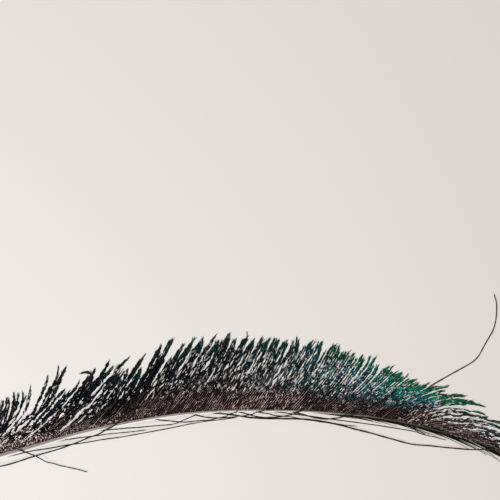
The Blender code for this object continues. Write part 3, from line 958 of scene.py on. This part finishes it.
def make_strands(rng):
    """Bare-looking barbs: smooth courses through their points that wander a little sideways by noise, a thin
    stem on each, and short barbules pressed along it, longer towards its end by an eased step."""
    look = strand_look()
    courses = np.array([strand_course(*strand) for strand in STRANDS])
    number = np.arange(len(courses))[:, None]
    wander = drift(rng, number, np.linspace(0, 1, STRAND_POINTS)[None], (1, STRAND_CELL))
    courses[..., 1] += STRAND_WANDER * wander
    radius = np.linspace(*STRAND_RADIUS, STRAND_POINTS)[None] * np.array(STRAND_WIDTH)[:, None]
    radius = radius * rng.uniform(*STRAND_SPREAD, courses.shape[:2])
    shape = carry(courses, radius, 6)
    piece("loose_strands", shape, stem_uv(shape[3], len(courses)), look, True)
    lengths = np.linalg.norm(np.diff(courses, axis=1), axis=-1).sum(axis=1)
    rolled = np.concatenate((courses, wander[..., None]), axis=-1)
    stalks, radius, barb, share, _ = barbules(rng, rolled, lengths, *STRAND_BARBULES)
    full_from, rate = STRAND_FULL
    grown = smooth(rate * (share - full_from))
    fullness = 1 + (np.array(STRAND_FULLNESS)[barb] - 1) * grown
    stalks[:, 1:] = stalks[:, :1] + (stalks[:, 1:] - stalks[:, :1]) * fullness[:, None, None]
    shape = carry(stalks, radius * fullness[:, None], 3, STRAND_FLATNESS)
    uv = tuft_uv(shape[3], barb, share, len(courses), *STRAND_U)
    piece("strand_barbules", shape, uv, look, False)


def side_barbs(rng, table, step, points, lifts):
    """Barbs on the far side of the shaft: courses that turn as the vane's do and sink to the floor by the
    same power of what is left of their length."""
    roots = np.arange(table[0][0], table[-1][0] + 1, step)
    start, end, length = (along(table, roots, column) for column in (1, 2, 3))
    end = end + rng.uniform(-SIDE_TURN, SIDE_TURN, len(roots)) * np.abs(end)
    length = length * rng.uniform(*SIDE_LENGTH, len(roots))
    share, _, x, y = swept(roots, start, end, 0 * end, length, points)
    base = shaft_centre(roots) - shaft_radius(roots)[:, None] * SIDE_SEAT
    lift = rng.uniform(*lifts, len(roots))[:, None]
    z = FLOOR_GAP + lift * share + (base[:, 2:] - FLOOR_GAP) * (1 - share) ** DROOP_POWER
    return np.stack((base[:, :1] + x, base[:, 1:2] + y, z), axis=-1), length


def make_tuft(rng, name, look, slot, courses, length, radii, sizes):
    """Stems along the courses that thin evenly, and barbules on them that roll at random."""
    count, points, _ = courses.shape
    shape = carry(courses, np.linspace(*radii, points)[None], 3)
    piece(name + "_stems", shape, stem_uv(shape[3], count), look, True)
    rolled = np.concatenate((courses, rng.uniform(-SIDE_ROLL, SIDE_ROLL, (count, points, 1))), axis=-1)
    stalks, radius, barb, share, _ = barbules(rng, rolled, length, *sizes)
    shape = carry(stalks, radius, 3)
    uv = tuft_uv(shape[3], barb, share, count, *TUFT_U)
    piece(name + "_barbules", shape, uv, look, False)


def make_shaft():
    """One round tube, a little flattened, carried along the shaft's centreline at the shaft's radius."""
    rings = [np.linspace(*row) for row in SHAFT_RINGS]
    x = np.concatenate(([BUTT_X], *rings, [TIP_X + TIP_REACH]))
    centre = shaft_centre(np.clip(x, SHAFT[0][0], TIP_X))
    centre[:, 0] = x
    shape = carry(centre[None], shaft_radius(x)[None], SHAFT_SIDES, SHAFT_FLATNESS)
    uv = row_uv(shape[3]["share"], shape[3]["turn"], 1)
    piece("shaft", shape, uv, shaft_look(), True)


def make_floor():
    """A flat square."""
    mesh = bpy.data.meshes.new("floor")
    corners = [(x * FLOOR_HALF, y * FLOOR_HALF, 0) for x, y in ((-1, -1), (1, -1), (1, 1), (-1, 1))]
    mesh.from_pydata(corners, [], [(0, 1, 2, 3)])
    mesh.materials.append(floor_look())
    floor = bpy.data.objects.new("floor", mesh)
    bpy.context.scene.collection.objects.link(floor)


def make_studio():
    """A long lens straight above the crest's part of the feather, a key light from low left, and a dome."""
    scene = bpy.context.scene
    middle = Vector(VIEW_MIDDLE)
    camera = bpy.data.objects.new("camera", bpy.data.cameras.new("camera"))
    camera.data.sensor_width = SENSOR
    camera.data.lens = LENS
    camera.location = middle + Vector((0, 0, CAMERA_HEIGHT))
    scene.collection.objects.link(camera)
    scene.camera = camera
    for name, place, size, power in LAMPS:
        lamp = bpy.data.lights.new(name, "AREA")
        lamp.size = size
        lamp.energy = power
        made = bpy.data.objects.new(name, lamp)
        made.location = middle + Vector(place)
        made.rotation_euler = (middle - made.location).to_track_quat("-Z", "Y").to_euler()
        scene.collection.objects.link(made)
    world = bpy.data.worlds.new("dome")
    world.use_nodes = True
    dome = world.node_tree.nodes["Background"]
    dome.inputs["Color"].default_value = DOME_COLOUR
    dome.inputs["Strength"].default_value = DOME_STRENGTH
    scene.world = world
    scene.view_settings.view_transform = "Standard"


def main():
    rng = np.random.default_rng(7)
    make_shaft()
    make_vane(rng)
    make_strands(rng)
    down = side_barbs(rng, DOWN, *DOWN_LAYOUT)
    make_tuft(rng, "down", down_look(), "down", *down, DOWN_STEM, DOWN_BARBULES)
    under = side_barbs(rng, UNDER, *UNDER_LAYOUT)
    make_tuft(rng, "under", under_look(), "vane", *under, UNDER_STEM, UNDER_BARBULES)
    make_floor()
    make_studio()


main()
